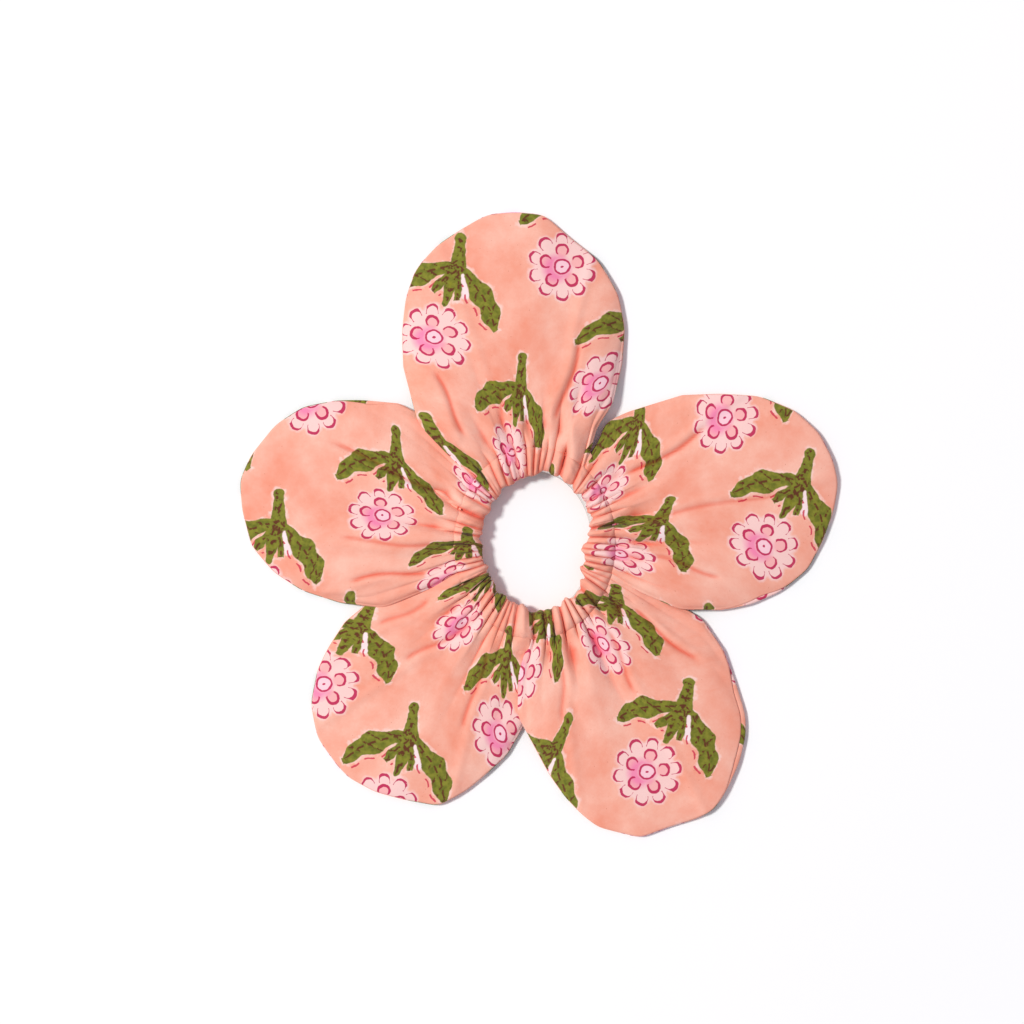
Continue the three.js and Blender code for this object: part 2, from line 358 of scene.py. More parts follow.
def flat_cut(name, gathered):
    """Where the points of the gathered petal lie in its flat cut, which fans out at the foot."""
    x, y = gathered[:, :, 0], gathered[:, :, 1]
    turned = np.arctan2(y, x)
    foot = ring_radius(turned + PETALS[name]["angle"]) + STITCH_LINE
    part = 1 - np.clip((np.hypot(x, y) - foot) / (UNGATHERED - foot), 0, 1)
    fan = flat_shift(name) * part**0.9
    flat = gathered * [1, 1, 0]
    flat[:, :, 0] += flat_shift(name) - fan * (1 - np.cos(turned))
    flat[:, :, 1] += fan * np.sin(turned)
    return flat


def petal_grids(name, layer):
    """The flat cut and the gathered shape of one layer of a petal, in the petal's own frame."""
    petal = PETALS[name]
    sign = 1 if layer == "front" else -1
    half_right, half_left = petal["halves"]
    angles = np.linspace(-half_right, half_left, COLUMNS + 1) + petal["angle"]
    radius = ring_radius(angles) + STITCH_LINE
    turned = angles - petal["angle"]
    stitch_height = RING_Z + sign * (GATHER_LIFT + pleat_height(angles))
    sway = 0.3 * np.sin(pleat_phase(angles) + 0.6)
    base = np.stack([radius * np.cos(turned) - sway * np.sin(turned),
                     radius * np.sin(turned) + sway * np.cos(turned), stitch_height], axis=1)

    along = np.linspace(0, 1, COLUMNS + 1)
    rim = resample(petal_edge(name), COLUMNS + 1)
    rolled = rolled_amount(name, along)
    set_in = EDGE_ROUND + (ROLL_WIDTH * rolled if layer == "front" else 0)
    rim = rim - outward(rim) * np.reshape(set_in, (-1, 1))
    rim_z = 1.55 + 0.45 * soft_noise(along * 9, names.index(name) * 7 + 3)
    rim_z = rim_z + sign * EDGE_ROUND + (0.4 * rolled if layer == "front" else 0)
    rim = np.column_stack([rim, rim_z])
    out = np.linspace(0, 1, ROWS + 1)
    wave = np.clip(out * 3.2, 0, 1) * np.clip((1 - out) * 2, 0, 1)
    necks = []
    for end, points, over in zip((0, -1), petal["neck"], petal["over"]):
        line = smooth_line(resample([base[end, :2], *points, rim[end, :2]], 120), 40)
        start = RING_Z + sign * 0.5
        height = start + (rim_z[end] - start) * out**0.8 + 1.25 * over * wave
        necks.append(np.column_stack([resample(line, ROWS + 1), height]))
        base[end, 2] = height[0]
    gathered = coons(base, rim, *necks)
    gathered_plan = gathered.copy()
    v = out[:, None]
    u = np.linspace(-1, 1, COLUMNS + 1)[None, :]
    reach = 0.5 + 0.22 * np.sin(6.3 * angles + 1.2) + 0.12 * np.sin(15 * angles)
    fade = np.clip(1 - v / reach[None, :], 0, 1) ** 1.3
    merged = np.clip(v / 0.1, 0, 1) + np.clip((v - 0.14) / 0.2, 0, 1)
    pleats = sign * pleat_height(angles[None, :], merged)
    ruled = (1 - v) * sign * pleat_height(angles)[None, :]
    gathered[:, :, 2] += (fade * pleats - ruled) * (1 - u**8)
    puff = 2.2 if layer == "front" else -0.2
    gathered[:, :, 2] += puff * np.sin(math.pi * np.clip(v, 0, 1)) ** 0.8 * (1 - u**4) * 0.8
    return flat_cut(name, gathered_plan), gathered


def grid_faces(rows, columns):
    return [
        (r * (columns + 1) + c, (r + 1) * (columns + 1) + c,
         (r + 1) * (columns + 1) + c + 1, r * (columns + 1) + c + 1)
        for r in range(rows) for c in range(columns)
    ]


def settle_cloth(flat, gathered):
    """Lets the gathered sheet take the length of its flat cut, with its edges held in place."""
    rows, columns = flat.shape[0] - 1, flat.shape[1] - 1
    scale = SIM_SCALE * MM
    mesh = bpy.data.meshes.new("settling")
    mesh.from_pydata((gathered.reshape(-1, 3) * scale).tolist(), [], grid_faces(rows, columns))
    sheet = placed("settling", mesh)
    sheet.shape_key_add(name="gathered")
    cut = sheet.shape_key_add(name="cut")
    cut.data.foreach_set("co", (flat.reshape(-1, 3) * scale).astype(np.float32).ravel())
    cut.value = 0
    held = sheet.vertex_groups.new(name="held")
    index = np.arange((rows + 1) * (columns + 1)).reshape(rows + 1, columns + 1)
    edge = np.concatenate([index[0], index[-1], index[1:-1, 0], index[1:-1, -1]])
    held.add(edge.tolist(), 1, "REPLACE")
    cloth = sheet.modifiers.new("cloth", "CLOTH")
    settings = cloth.settings
    settings.quality = 7
    settings.mass = 0.2
    settings.tension_stiffness = 12
    settings.compression_stiffness = 12
    settings.shear_stiffness = 4
    settings.bending_stiffness = 0.12
    settings.air_damping = 2
    settings.vertex_group_mass = "held"
    settings.pin_stiffness = 1
    settings.rest_shape_key = cut
    settings.effector_weights.gravity = 0
    cloth.collision_settings.use_collision = False
    cloth.point_cache.frame_start = 1
    cloth.point_cache.frame_end = SIM_FRAMES + 1
    scene = bpy.context.scene
    for step in range(1, SIM_FRAMES + 1):
        scene.frame_set(step)
    settled = sheet.evaluated_get(bpy.context.evaluated_depsgraph_get())
    places = np.zeros(gathered.size, np.float32)
    settled.data.vertices.foreach_get("co", places)
    bpy.data.objects.remove(sheet)
    scene.frame_set(1)
    return places.reshape(gathered.shape).astype(float) / scale


# The cloth's pattern is printed with blocks, one colour at a time: blooms drawn in crimson on a pale
# ground and filled with pink, and sprigs in olive green with maroon veins. The colours don't quite
# meet, which leaves pale haloes, and crimson dashes beside the leaves.

def paint(red, green, blue):
    """A colour given as on a paint card, 0 to 255, as the shader's linear numbers."""
    linear = [(c / 255 / 12.92) if c < 10 else ((c / 255 + 0.055) / 1.055) ** 2.4 for c in (red, green, blue)]
    return (*linear, 1)


class Wire:
    """An output in a material's nodes, with the arithmetic that the patterns are written in."""

    def __init__(self, socket):
        self.socket = socket

    def node(self, kind, inputs, output=0, **settings):
        tree = self.socket.id_data
        made = tree.nodes.new(kind)
        for setting, value in settings.items():
            setattr(made, setting, value)
        for key, value in inputs.items():
            if isinstance(value, Wire):
                tree.links.new(value.socket, made.inputs[key])
            else:
                made.inputs[key].default_value = value
        return Wire(made.outputs[output])

    def math(self, operation, *values, clamp=False):
        return self.node("ShaderNodeMath", dict(enumerate(values)), operation=operation, use_clamp=clamp)

    def made_with(operation):
        """A method that adds the Math node of an operation to this wire and any other value."""
        return lambda self, *others: self.math(operation, self, *others)

    __add__ = __radd__ = made_with("ADD")
    __sub__ = made_with("SUBTRACT")
    __mul__ = __rmul__ = made_with("MULTIPLY")
    __truediv__ = made_with("DIVIDE")
    __pow__ = made_with("POWER")
    __abs__ = made_with("ABSOLUTE")
    at_most = made_with("MINIMUM")
    at_least = made_with("MAXIMUM")
    sine = made_with("SINE")
    cosine = made_with("COSINE")
    rounded = made_with("ROUND")

    def __rsub__(self, other):
        return self.math("SUBTRACT", other, self)

    def __neg__(self):
        return self * -1

    def mixed(self, under, over, **settings):
        """One colour over another, as much as this mask says."""
        inputs = {0: self, 6: under, 7: paint(*over)}
        return self.node("ShaderNodeMix", inputs, output=2, data_type="RGBA", **settings)

    def as_relief(self, shader, strength, distance):
        """Gives a shader this wire's value as fine relief."""
        bump = self.node("ShaderNodeBump", {"Height": self, "Strength": strength, "Distance": distance})
        self.socket.id_data.links.new(bump.socket, shader.inputs["Normal"])

    def ink(self, softness=0.12):
        """1 where a distance is above 0, with a soft edge that wide."""
        return self.math("MULTIPLY_ADD", self, 1 / softness, 0.5, clamp=True)


def length_of(x, y):
    return (x * x + y * y) ** 0.5


def fold_round(x, y, count, turn):
    """Folds the plane into one of count equal slices about the middle; returns out and across."""
    angle = x.math("ARCTAN2", y, x) / (2 * math.pi) * count + turn
    slice_angle = (angle - angle.rounded()) * (2 * math.pi / count)
    radius = length_of(x, y)
    return radius * slice_angle.cosine(), radius * slice_angle.sine()


def rod_shape(x, y, start, tip, half_start, half_tip):
    """How far inside a round-ended bar a point is; the bar may taper."""
    run = (tip[0] - start[0], tip[1] - start[1])
    size = run[0] ** 2 + run[1] ** 2
    along = ((x - start[0]) * (run[0] / size) + (y - start[1]) * (run[1] / size)).at_least(0).at_most(1)
    off = length_of(x - start[0] - along * run[0], y - start[1] - along * run[1])
    return along * (half_tip - half_start) + half_start - off


def leaf_shape(x, y, start, tip, bulge, width, lobes):
    """How far inside a leaf a point is, and its own coordinates: along from 0 to 1, and across."""
    run = (tip[0] - start[0], tip[1] - start[1])
    size = math.hypot(*run)
    along = (x - start[0]) * (run[0] / size**2) + (y - start[1]) * (run[1] / size**2)
    across = (y - start[1]) * (run[0] / size) - (x - start[0]) * (run[1] / size)
    blade = along.at_least(0) ** 1.35
    inside = (blade * (1 - blade)).at_least(0) * 4
    across = across - inside * bulge
    half = inside**0.8 * (width - LEAF_STALK) + LEAF_STALK + (along * lobes).sine() * inside * (width * 0.2)
    within = (half - abs(across)).at_most(along * size + 0.4).at_most((1 - along) * size + 0.4)
    return within, along, across


def block_print(material):
    """The printed cotton's colour and relief, from the print map."""
    tree = material.node_tree
    shader = tree.nodes["Principled BSDF"]
    map_node = tree.nodes.new("ShaderNodeUVMap")
    map_node.uv_map = "print"
    cloth = Wire(map_node.outputs[0])

    def split(wire):
        parts = wire.node("ShaderNodeSeparateXYZ", {0: wire})
        return parts, Wire(parts.socket.node.outputs[1])

    # ink edges wander a little, as the block leaves them
    slow_x, slow_y = split(cloth.node("ShaderNodeTexNoise", {"Vector": cloth, "Scale": 2.2}, output=1))
    quick_x, quick_y = split(cloth.node("ShaderNodeTexNoise", {"Vector": cloth, "Scale": 9.0}, output=1))
    place_x, place_y = split(cloth)
    x = place_x * 10 + (slow_x - 0.5) * 0.9 + (quick_x - 0.5) * 0.5
    y = place_y * 10 + (slow_y - 0.5) * 0.9 + (quick_y - 0.5) * 0.5

    # the nearest repeat of the motif, counted from the middle of bloom and sprig
    (ax, ay), (bx, by) = REPEAT
    area = ax * by - ay * bx
    from_x, from_y = x - MOTIF_MIDDLE[0], y - MOTIF_MIDDLE[1]
    first = ((from_x * by - from_y * bx) / area).rounded()
    second = ((from_y * ax - from_x * ay) / area).rounded()
    x = x - first * ax - second * bx
    y = y - first * ay - second * by

    fine = cloth.node("ShaderNodeTexNoise", {"Vector": cloth, "Scale": 16.0, "Detail": 3.0})
    press = cloth.node("ShaderNodeTexNoise", {"Vector": cloth, "Scale": 1.6, "Detail": 2.0})
    broken = (fine - 0.36) * 2.2
    stroke = (press - 0.5) * 0.45

    # the bloom: ten outer scallops, five inner petals, a ring and a dot
    radius = length_of(x, y)
    out, across = fold_round(x, y, 10, 0.05)
    scallop = length_of(out - 7.0, across)
    crescent = (out - 6.9) * 0.1 - 0.02
    outer_line = (crescent + stroke + 0.2 - abs(scallop - 1.6)).at_most(1.55 - abs(across)).at_most(out - 6.3)
    outer_line = outer_line.at_most(broken + 0.15)
    bloom_ground = (1.75 - scallop).at_least(7.2 - radius)
    out, across = fold_round(x, y, 5, -0.47)
    floret = length_of(out - 4.2, across)
    crescent = (out - 3.9) * 0.08 + 0.02
    inner_line = (crescent + stroke + 0.22 - abs(floret - 1.5)).at_most(out - 3.2).at_most(broken + 0.2)
    centre_line = (0.26 - abs(radius - 1.9)).at_least(0.36 - radius)
    crimson = outer_line.at_least(inner_line).at_least(centre_line)
    magenta = (3.4 - length_of(x + 1.2, y + 0.9)).at_most(radius - 1.8)

    # the sprig: a stem, its leaves with their veins, and the crimson dashes printed beside them
    stem = rod_shape(x, y, *STEM).at_least(rod_shape(x, y, *STEM_END)).at_least(rod_shape(x, y, *FOOT_STALK))
    sprig = stem
    stem_x, stem_y = split(cloth.node("ShaderNodeTexNoise", {"Vector": cloth, "Scale": 7.0}, output=1))
    veins = (stem - 0.55).at_most((stem_x - 0.56) * 4)
    dashes = stem * 0 - 1
    for start, tip, bulge, width, lobes, under in LEAVES:
        inside, along, side = leaf_shape(x, y, start, tip, bulge, width, lobes)
        sprig = sprig.at_least(inside)
        long = math.hypot(tip[0] - start[0], tip[1] - start[1])
        midrib = (0.26 - abs(side)).at_most((along * (long * 1.9) + 1).sine() * 0.6 + 0.25)
        ribs = ((along * (long * 1.8) + side * 1.6 + (stem_x - 0.5) * 5).sine() - 0.84) * 0.8
        ribs = ribs.at_most(inside - 0.2).at_most((stem_x - 0.5) * 4)
        vein = midrib.at_most((stem_y - 0.4) * 4).at_least(ribs).at_most(inside).at_most(broken + 0.1)
        veins = veins.at_least(vein)
        dash = (0.24 - abs(inside + 1.05)).at_most((along * (long * 1.5) + 2).sine() + 0.25)
        dash = dash.at_most(side * under).at_most((along - 0.2) * 9).at_most((1.0 - along) * 9)
        dashes = dashes.at_least(dash)

    gap = rod_shape(x, y, *GAP)
    sprig = sprig.at_most(-gap - 0.15)
    veins = veins.at_most(-gap)

    # the colours, one block over the other
    inputs = {"Vector": cloth, "Scale": 0.62, "Detail": 5.0, "Roughness": 0.6}
    mottle = cloth.node("ShaderNodeTexNoise", inputs)
    ground = cloth.node("ShaderNodeValToRGB", {0: mottle})
    ramp = ground.socket.node.color_ramp
    ramp.elements[0].position, ramp.elements[0].color = 0.32, paint(*GROUND_DARK)
    ramp.elements[1].position, ramp.elements[1].color = 0.66, paint(*GROUND_LIGHT)
    speck_noise = cloth.node("ShaderNodeTexNoise", {"Vector": cloth, "Scale": 11.0, "Detail": 2.5})

    look = ground
    halo = (slow_x + stem_y - 0.92) * 2.6
    for mask, colour in [
        ((speck_noise - 0.73).ink(0.04) * 0.6, (188, 100, 80)),
        (((fine - 0.5) * 3).ink(2.0) * 0.22, (236, 140, 112)),
        ((sprig + halo).ink(0.8) * 0.75, (252, 216, 204)),
        ((bloom_ground + 0.4 + halo * 0.4).ink(0.9) * 0.85, (249, 212, 206)),
        ((gap + 0.2).ink(0.5) * 0.9, (251, 232, 232)),
        ((1.7 - floret).ink(0.6) * 0.75, (247, 170, 168)),
        (magenta.ink(2.0) * 0.85, (243, 128, 172)),
        ((1.85 - radius).ink(0.4) * 0.8, (250, 206, 216)),
        (dashes.ink() * 0.9, (206, 50, 76)),
        (crimson.ink() * 0.95, (190, 22, 80)),
        (sprig.ink(0.25) * 0.98, (130, 132, 32)),
        (sprig.ink(0.25) * ((stem_x - 0.5) * 6).ink(2) * 0.7, (80, 88, 20)),
        (veins.ink(0.2) * 0.9, (96, 40, 26)),
    ]:
        look = mask.mixed(look, colour)

    # painted shade: the printed colour is multiplied towards a dark orange, as much as the point attribute
    # says a point lies in a fold, pleat or crease, where shade falls
    attribute = tree.nodes.new("ShaderNodeAttribute")
    attribute.attribute_name = "valley"
    painted_fold_shade = (Wire(attribute.outputs["Fac"]) * 0.7).mixed(look, (236, 118, 88), blend_type="MULTIPLY")
    tree.links.new(painted_fold_shade.socket, shader.inputs["Base Color"])

    # plain weave: threads over and under each way, with a few thicker ones
    slub = cloth.node("ShaderNodeMapping", {0: cloth, 3: (1.2, 26, 1)})
    slubs = cloth.node("ShaderNodeTexNoise", {"Vector": slub, "Scale": 1.0, "Detail": 2.0})
    weave = (place_x * WEAVE).sine() * (place_y * WEAVE).sine() * 0.4 + fine * 0.8 + slubs * 1.4
    weave.as_relief(shader, 0.3, 0.00012)


GROUND_DARK = (240, 151, 123)
GROUND_LIGHT = (251, 195, 173)
WEAVE = 2 * math.pi / 0.028
REPEAT = ((24.5, -25.5), (27, 27))
MOTIF_MIDDLE = (1.5, 8.6)
LEAF_STALK = 0.75
STEM = ((-0.2, 26.6), (1.2, 19.2), 1.15, 2.2)
STEM_END = ((-0.3, 26.9), (0.0, 26.0), 1.5, 1.3)
FOOT_STALK = ((0.8, 18.6), (0.6, 9.4), 2.6, 0.8)
GAP = ((3.0, 17.6), (5.2, 12.8), 0.3, 0.75)
# each leaf: foot, tip, bulge, half width, lobes along it, and which side the crimson dashes lie on
LEAVES = [
    ((1.0, 20.2), (-13.4, 8.2), -1.8, 2.75, 15.0, 1),
    ((1.8, 19.8), (14.6, 6.2), 1.5, 2.8, 17.0, -1),
    ((0.8, 18.4), (-3.2, 12.0), -0.2, 1.2, 9.4, 1),
    ((1.6, 18.4), (3.4, 11.4), 0.2, 1.1, 6.2, -1),
]

printed_cotton = new_material("block_printed_cotton", Roughness=0.85, Specular_IOR_Level=0.25,
                              Sheen_Weight=0.12, Sheen_Roughness=0.5)
block_print(printed_cotton)


def with_lips(shaped, flat, layer, rolled):
    """Adds the rows that turn down round a layer's edge to meet the other layer at the seam.

    Returns places, cut places and faces. The edge is followed up the right-hand side of the foot,
    round the tip and down the left-hand side."""
    rows, columns = shaped.shape[0] - 1, shaped.shape[1] - 1
    index = np.arange((rows + 1) * (columns + 1)).reshape(rows + 1, columns + 1)
    border = np.concatenate([index[:, 0], index[-1, 1:-1], index[::-1, -1]])
    places = shaped.reshape(-1, 3)
    cut = flat.reshape(-1, 3)[:, :2]
    faces = grid_faces(rows, columns)
    out = outward(places[border, :2])
    cut_out = outward(cut[border])
    sign = 1 if layer == "front" else -1
    roll = np.interp(np.arange(len(border)), np.arange(columns + 1) + rows, rolled)
    steps = [(0.32 * EDGE_ROUND, 0.07, 0), (0.72 * EDGE_ROUND, 0.32, 0), (EDGE_ROUND, 1, 0)]
    if layer == "back":
        steps += [(EDGE_ROUND, 1, 0.35), (EDGE_ROUND, 1, 1)]
    all_places, all_cut = [places], [cut]
    previous, count = border, len(places)
    for step_out, fall, over in steps:
        shift = (step_out - ROLL_WIDTH * roll * over)[:, None]
        height = places[border, 2] - sign * EDGE_ROUND * fall + 0.4 * roll * np.minimum(over * 2, 1)
        all_places.append(np.column_stack([places[border, :2] + out * shift, height]))
        reach = EDGE_ROUND * (step_out / EDGE_ROUND + fall * 0.6) + ROLL_WIDTH * roll * over
        all_cut.append(cut[border] + cut_out * np.reshape(reach, (-1, 1)))
        row = np.arange(count, count + len(border))
        faces += [(previous[k + 1], previous[k], row[k], row[k + 1]) for k in range(len(border) - 1)]
        previous, count = row, count + len(border)
    return np.concatenate(all_places), np.concatenate(all_cut), faces


def fold_shade_amounts(shaped):
    """How much painted shade each point of a sheet gets, from 0 to 1: more the lower it lies below the folds
    around it.
    """
    height = shaped[:, :, 2]
    mean = height.copy()
    for _ in range(10):
        mean[:, 1:-1] = mean[:, 1:-1] * 0.5 + (mean[:, :-2] + mean[:, 2:]) * 0.25
        mean[1:-1] = mean[1:-1] * 0.5 + (mean[:-2] + mean[2:]) * 0.25
    return np.clip((mean - height) / 0.55 - 0.12, 0, 1)


BACK_SHIFT = (9, 14)


def print_places(cut, name, layer):
    """Where points of the flat cut, in a petal's frame, lie on the printed cloth, in millimetres.

    The origin is the middle of one bloom, and its stem points along +Y. The back layer is a second
    cut with its right side out, so its print is the other way round and differently placed."""
    petal = PETALS[name]
    from_bloom = cut - [petal["bloom"][0] + flat_shift(name), petal["bloom"][1]]
    turn = petal["angle"] + math.radians(petal["tilt"])
    c, s = math.cos(turn), math.sin(turn)
    x = from_bloom[:, 0] * c - from_bloom[:, 1] * s
    y = from_bloom[:, 0] * s + from_bloom[:, 1] * c
    if layer == "back":
        x, y = BACK_SHIFT[0] - x, BACK_SHIFT[1] + y
    return np.column_stack([x, y])


def cloth_object(name, places, faces, prints, valley, levels=1):
    """A sheet of the printed cotton from places in millimetres, with its thickness and its print.

    prints has a place on the print for each corner of each face."""
    mesh = bpy.data.meshes.new(name)
    mesh.from_pydata((places * MM).tolist(), [], [tuple(int(k) for k in face) for face in faces])
    mesh.shade_smooth()
    print_map = mesh.uv_layers.new(name="print")
    print_map.data.foreach_set("uv", (prints / 10).astype(np.float32).ravel())
    # each point's painted shade in folds and creases, read by the cotton's shader
    mesh.attributes.new("valley", "FLOAT", "POINT").data.foreach_set("value", valley.astype(np.float32))
    sheet = placed(name, mesh)
    thick = sheet.modifiers.new("thickness", "SOLIDIFY")
    thick.thickness = COTTON_THICKNESS * MM
    thick.offset = 0
    smooth = sheet.modifiers.new("smooth", "SUBSURF")
    smooth.levels = smooth.render_levels = levels
    mesh.materials.append(printed_cotton)
    return sheet


def tucked(shaped, flat, layer):
    """Adds a row at a layer's foot that goes on under the casing's cloth."""
    inward, down = TUCK
    row, cut = shaped[:1].copy(), flat[:1].copy()
    for grid in (row, cut):
        grid[:, :, :2] *= 1 - inward / np.linalg.norm(grid[:, :, :2], axis=2)[:, :, None]
    row[:, :, 2] -= down if layer == "front" else -down
    return np.concatenate([row, shaped]), np.concatenate([cut, flat])


def pressed(shaped, creases):
    """Presses folds into a front layer. Returns how much painted shade each point gets along the pressed
    creases.
    """
    crease_shade_weight = np.zeros(shaped.shape[:2])
    for start, end, depth in creases:
        run = np.array(end, float) - start
        off = shaped[:, :, :2] - np.array(start, float)
        along = np.clip(off @ run / (run @ run), 0, 1)
        bend = 0.9 * np.sin(along * 5 + depth * 9)
        across = off @ np.array([-run[1], run[0]]) / np.linalg.norm(run) + bend
        past = np.linalg.norm(off - along[:, :, None] * run, axis=2)
        line = np.exp(-(across / 0.75) ** 2) * np.exp(-(np.maximum(past - 2, 0) / 2) ** 2)
        line *= np.clip(np.sin(along * math.pi) * 3, 0, 1)
        shaped[:, :, 2] -= depth * line
        shaped[:, :, 2] += 0.7 * depth * np.exp(-((across - 1.6) / 1.2) ** 2) * (line > 0)
        crease_shade_weight = np.maximum(crease_shade_weight, line**2 * depth * 2.2)
    return crease_shade_weight


def in_place(name, points):
    """Turns points from a petal's own frame to the shared one, in millimetres."""
    c, s = math.cos(PETALS[name]["angle"]), math.sin(PETALS[name]["angle"])
    x, y = points[:, 0], points[:, 1]
    return np.column_stack([x * c - y * s + HOLE[0], x * s + y * c + HOLE[1], points[:, 2]])


def grid_area(grid):
    """The area of a flat grid of four-sided cells."""
    across = grid[1:, 1:] - grid[:-1, :-1]
    back = grid[1:, :-1] - grid[:-1, 1:]
    return np.abs(across[..., 0] * back[..., 1] - across[..., 1] * back[..., 0]).sum() / 2


def fold_at_foot(piece):
    """Bakes a petal's piece's transform into its mesh."""
    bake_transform(piece)


def petal_layer(name, layer):
    """One layer of a petal, settled and lipped, in its place."""
    flat, gathered = petal_grids(name, layer)
    shaped = settle_cloth(flat, gathered)
    front = layer == "front"
    shaped[:, :, 2] = np.maximum(shaped[:, :, 2], FRONT_LOWEST if front else BACK_LOWEST)
    crease_shade_weight = pressed(shaped, PETALS[name]["creases"] if front else [])
    shaped, flat = tucked(shaped, flat, layer)
    rolled = rolled_amount(name, np.linspace(0, 1, COLUMNS + 1))
    places, cut, faces = with_lips(shaped, flat, layer, rolled)
    # painted shade for each point: most in the hollows between folds and along the pressed creases; the lip
    # rows get none
    valley = np.zeros(len(places))
    painted_fold_shade = fold_shade_amounts(shaped)
    painted_fold_shade[1:] = np.maximum(painted_fold_shade[1:], crease_shade_weight)
    valley[:shaped.shape[0] * shaped.shape[1]] = painted_fold_shade.ravel()
    if front:
        faces = [face[::-1] for face in faces]
    prints = print_places(cut, name, layer)[np.array(faces).ravel()]
    sheet = cloth_object(f"{layer}_cotton_{name}", in_place(name, places), faces, prints, valley)
    grid_area(flat) * MM * MM
    return sheet


for name in PETALS:
    for layer in ("front", "back"):
        sheet = petal_layer(name, layer)
        fold_at_foot(sheet)
        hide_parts(f"{layer}_petal_{name}")


# ---------------------------------------------------------------------------------------------
# Casing. Between the hole's edge and the channel stitches the two layers make a tube round the
# elastic. The elastic draws it up, so it stands in close pleats that run from the petals over the
# hole's edge and under. Each length here goes from the middle of one petal to the next one.

CASING_HALF = 3.7
CASING_HEIGHT = 2.3
PLEAT_STEPS = 11
CASING_ROWS = 26

ring_angle = {"ring_" + name: petal["angle"] for name, petal in PETALS.items()}
ring_angle["ring_closing"] = PETALS["lower_left"]["angle"]
spans = []
for joint in frame["joints"]:
    if joint["name"].startswith("stretch_"):
        start = ring_angle[joint["parent"]]
        end = start + turn_to(start, ring_angle[joint["child"]])
        spans.append((joint["name"][len("stretch_"):], joint["parent"], joint["child"], start, end))


def ring_place(angle, out=0.0):
    """A place on the ring's centreline, or so far outside it."""
    radius = ring_radius(angle) + out
    return HOLE[0] + radius * np.cos(angle), HOLE[1] + radius * np.sin(angle)


def degrees_from(angle, middle):
    """The turn from a middle in degrees to an angle in radians, in degrees."""
    return (np.degrees(angle) - middle + 180) % 360 - 180


def wander(angle):
    """How far the hole's edge is pushed outwards by the gathers' uneven bulk."""
    shift = np.zeros_like(np.asarray(angle, float))
    for middle, width, size in ((33, 28, 2.1), (75, 18, 1.3), (172, 20, 0.7), (290, 16, 0.8), (313, 14, 1.5),
                                (353, 8, -1.1), (343, 3, 0.5), (331, 7, -0.6), (324, 3, 0.5),
                                (96, 7, -0.5), (253, 10, -0.6), (297, 7, -0.6)):
        shift += size * np.exp(-(degrees_from(angle, middle) / width) ** 2)
    return shift + 0.28 * np.sin(19 * np.asarray(angle)) + 0.2 * np.sin(31 * np.asarray(angle) + 1)


def swelling(angle):
    """Where the casing puffs up: most beside the right-hand petals, hardly at all on the left."""
    right, low = degrees_from(angle, -22), degrees_from(angle, 262)
    return np.exp(-(right / 40) ** 2) + 0.6 * np.exp(-(low / 35) ** 2) - 0.3


def follow_ring(piece, parent, child):
    """Bakes a piece's transform into its mesh; the places of the two petals' feet on the ring are found but
    not used.
    """
    start, end = ring_angle[parent], ring_angle[child]
    places = [Vector((*ring_place(angle), RING_Z)) * MM for angle in (start, end)]
    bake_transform(piece)


def nearest_petal(angle):
    """The petal whose foot a part of the ring belongs to."""
    return min(PETALS, key=lambda name: abs(turn_to(angle, PETALS[name]["angle"])))


def ring_print(angle, inward, layer, name):
    """The print's place on the ring, a distance inwards along the cloth from the channel stitches."""
    turned = angle - PETALS[name]["angle"]
    radius = ring_radius(angle) + STITCH_LINE + flat_shift(name) - inward
    cut = np.array([[radius * math.cos(turned), radius * math.sin(turned)]])
    return print_places(cut, name, layer)[0]


def gathered_faces(rows, angles, order, depth):
    """The faces of a gathered sheet, row by row from the front to the back, and their prints.

    order lists a face's corners as steps of row and column. depth says how far inwards along the
    cloth from the channel stitches a row and column lie in a layer."""
    columns = len(angles) - 1
    faces, prints = [], []
    for r in range(rows):
        layer = "front" if r < rows // 2 else "back"
        for c in range(columns):
            corners = [(r + down, c + over) for down, over in order]
            faces.append([row * (columns + 1) + column for row, column in corners])
            name = nearest_petal((angles[c] + angles[c + 1]) / 2)
            prints += [ring_print(angles[column], depth(row, column, layer), layer, name)
                       for row, column in corners]
    return faces, np.array(prints)


